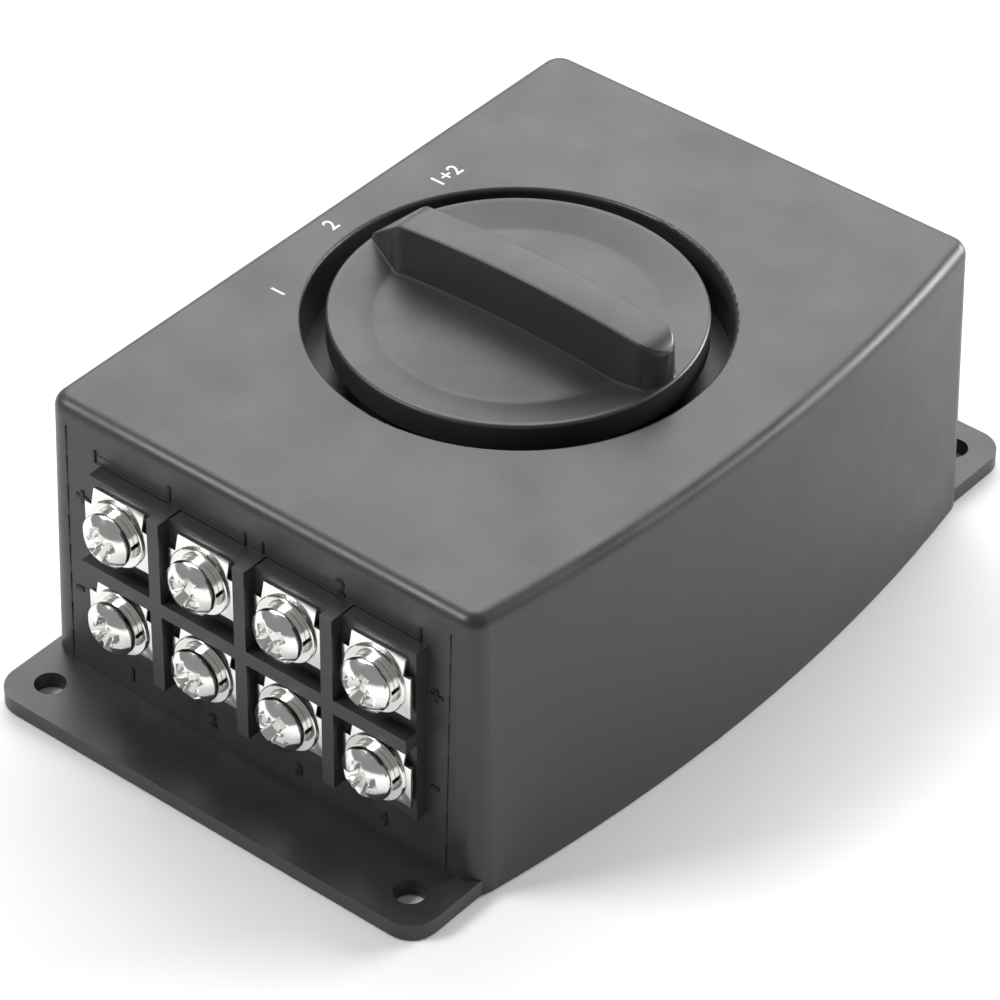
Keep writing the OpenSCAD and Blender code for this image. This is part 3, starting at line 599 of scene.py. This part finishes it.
for name, body, size, x, z in (("group_1", "1", 3.3, -14.8, 40.3), ("group_2", "2", 3.3, 14.9, 40.3),
                               ("plus_left", "+", 4.2, -30.6, 31.6), ("plus_right", "+", 4.2, 31.2, 31.0),
                               ("minus_left", "-", 5.0, -31.6, 16.2), ("minus_right", "-", 5.0, 31.2, 16.2),
                               ("column_1", "1", 2.9, -22.2, 5.6), ("column_2", "2", 2.9, -7.6, 5.6),
                               ("column_3", "3", 2.9, 7.8, 5.6), ("column_4", "4", 2.9, 22.6, 5.6)):
    text(f"mark_{name}", body, size, on_front(x, z), mark_mat, 0.16, 0.1)


def bar(x0, x1, y0, y1, z0, z1, ease):
    """bmesh box between faces, with its outer front edges eased."""
    pts = [(y1, z0), (y0 + ease, z0), (y0, z0 + ease), (y0, z1 - ease), (y0 + ease, z1), (y1, z1)]
    bm = bmesh.new()
    lo = [bm.verts.new((x0, y, z)) for y, z in pts]
    hi = [bm.verts.new((x1, y, z)) for y, z in pts]
    bm.faces.new(lo)
    bm.faces.new(list(reversed(hi)))
    for i in range(len(pts)):
        bm.faces.new((lo[i], hi[i], hi[(i + 1) % len(pts)], lo[(i + 1) % len(pts)]))
    bmesh.ops.recalc_face_normals(bm, faces=bm.faces)
    return to_mesh(bm, "bar")


# Moulded brackets over the two groups of terminals, each broken round its figure, joined with a painted shade
# line: a thin near-black strip along the pad's top edge that stands in for the shade where the pad's top
# meets the wall.
for name, x0, x1 in (("1", -28.3, -1.3), ("2", 1.4, 28.5)):
    mid = (x0 + x1) / 2
    y = wall_y(PAD_TOP)
    # Painted shade: this first near-black strip, just proud of the wall along the pad's top edge, is the
    # shade where the pad meets the wall, not a moulded line
    bracket_bars_and_shade_strip = [bar(x0 + 0.4, x1 - 0.4, y - 0.12, y + 0.15, PAD_TOP + 0.02, PAD_TOP + 0.36, 0.05)]
    for x in (x0, x1 - 0.4):
        bracket_bars_and_shade_strip.append(bar(x, x + 0.4, wall_y(40) - 0.2, wall_y(40) + 0.15, PAD_TOP + 0.02, 40.9, 0.06))
    for xa, xb in ((x0 + 0.4, mid - 2), (mid + 2, x1 - 0.4)):
        bracket_bars_and_shade_strip.append(bar(xa, xb, wall_y(40) - 0.06, wall_y(40) + 0.15, 40.3, 40.45, 0.03))
    link(f"bracket_and_shade_strip_{name}", scaled(joined(bracket_bars_and_shade_strip, f"bracket_and_shade_strip_{name}")), mark_mat, "base", "housing_plastic")

# Fine witness lines of the mould beside the front corners
for name, x in (("left", -33.3), ("right", 33.3)):
    steps = []
    for i in range(8):
        z0, z1 = 2.5 + i * 5.0, 2.5 + (i + 1) * 5.0
        y = wall_y((z0 + z1) / 2)
        steps.append(bar(x - 0.07, x + 0.07, y - 0.09, y + 0.2, z0, min(z1, 42.6), 0.01))
    link(f"witness_{name}", scaled(joined(steps, f"witness_{name}")), mark_mat, "base", "housing_plastic")


# ---------------------------------------------------------------- stage, camera, light
def camera():
    az, el, roll = map(math.radians, (38.944, 38.512, 0.637))
    dist = 678.77 * MM
    back = Vector((math.sin(az) * math.cos(el), -math.cos(az) * math.cos(el), math.sin(el)))
    right = (-back).cross(Vector((0, 0, 1))).normalized()
    up = right.cross(-back)
    r2 = right * math.cos(roll) + up * math.sin(roll)
    u2 = -right * math.sin(roll) + up * math.cos(roll)
    cam = bpy.data.objects.new("camera", bpy.data.cameras.new("camera"))
    cam.data.sensor_width = 36
    cam.data.lens = 4891.37 / 1000 * 36
    cam.data.shift_x = -0.016492
    cam.data.shift_y = -0.029745
    cam.data.clip_start, cam.data.clip_end = 0.05, 20
    rot = Matrix((r2, u2, back)).transposed().to_4x4()
    cam.matrix_world = Matrix.Translation(Vector((0, 0, 19 * MM)) + back * dist) @ rot
    scene.collection.objects.link(cam)
    scene.camera = cam


def lamp(name, direction, distance, size, power, size_y=None, target=(0, 0, 0.03)):
    """Area lamp that shines at the target from a direction."""
    la = bpy.data.lights.new(name, "AREA")
    la.shape = "RECTANGLE"
    la.size = size
    la.size_y = size_y or size
    la.energy = power
    d = Vector(direction).normalized()
    ob = bpy.data.objects.new(name, la)
    ob.location = Vector(target) + d * distance
    ob.rotation_mode = "QUATERNION"
    ob.rotation_quaternion = d.to_track_quat("Z", "Y")
    scene.collection.objects.link(ob)
    return ob


def seen(tree):
    """1 for rays that show the background: camera and transmission rays."""
    path = tree.nodes.new("ShaderNodeLightPath")
    add = tree.nodes.new("ShaderNodeMath")
    add.operation = "ADD"
    add.use_clamp = True
    tree.links.new(path.outputs["Is Camera Ray"], add.inputs[0])
    tree.links.new(path.outputs["Is Transmission Ray"], add.inputs[1])
    return add.outputs[0]


def stage():
    bm = bmesh.new()
    bmesh.ops.create_grid(bm, x_segments=1, y_segments=1, size=6)
    floor = bpy.data.objects.new("floor", to_mesh(bm, "floor"))
    scene.collection.objects.link(floor)
    floor.location.z = -0.0003
    m = material("floor", (0.9, 0.9, 0.9), 0.9)
    m.node_tree.nodes["Principled BSDF"].inputs["Specular IOR Level"].default_value = 0.0
    floor.data.materials.append(m)
    w = bpy.data.worlds.new("world")
    scene.world = w
    w.use_nodes = True
    tree = w.node_tree
    bg = tree.nodes["Background"]
    bg.inputs["Strength"].default_value = 0.3
    bg2 = tree.nodes.new("ShaderNodeBackground")
    bg2.inputs["Strength"].default_value = 1.0
    mix = tree.nodes.new("ShaderNodeMixShader")
    tree.links.new(seen(tree), mix.inputs[0])
    tree.links.new(bg.outputs[0], mix.inputs[1])
    tree.links.new(bg2.outputs[0], mix.inputs[2])
    tree.links.new(mix.outputs[0], tree.nodes["World Output"].inputs["Surface"])
    bg.inputs["Color"].default_value = (1, 1, 1, 1)
    bg2.inputs["Color"].default_value = (1, 1, 1, 1)
    # Broad panel behind, which the top mirrors to the camera
    lamp("panel_back", (-0.47, 0.62, 0.68), 2.0, 2.0, 42, 1.7)
    # Key from the front left
    lamp("key", (-0.55, -0.55, 0.75), 2.0, 0.7, 25)
    # Low panel at the back right
    lamp("panel_right", (0.4, 0.92, 0.26), 1.6, 0.9, 36, 0.6)
    scene.view_settings.view_transform = "Standard"


camera()
stage()
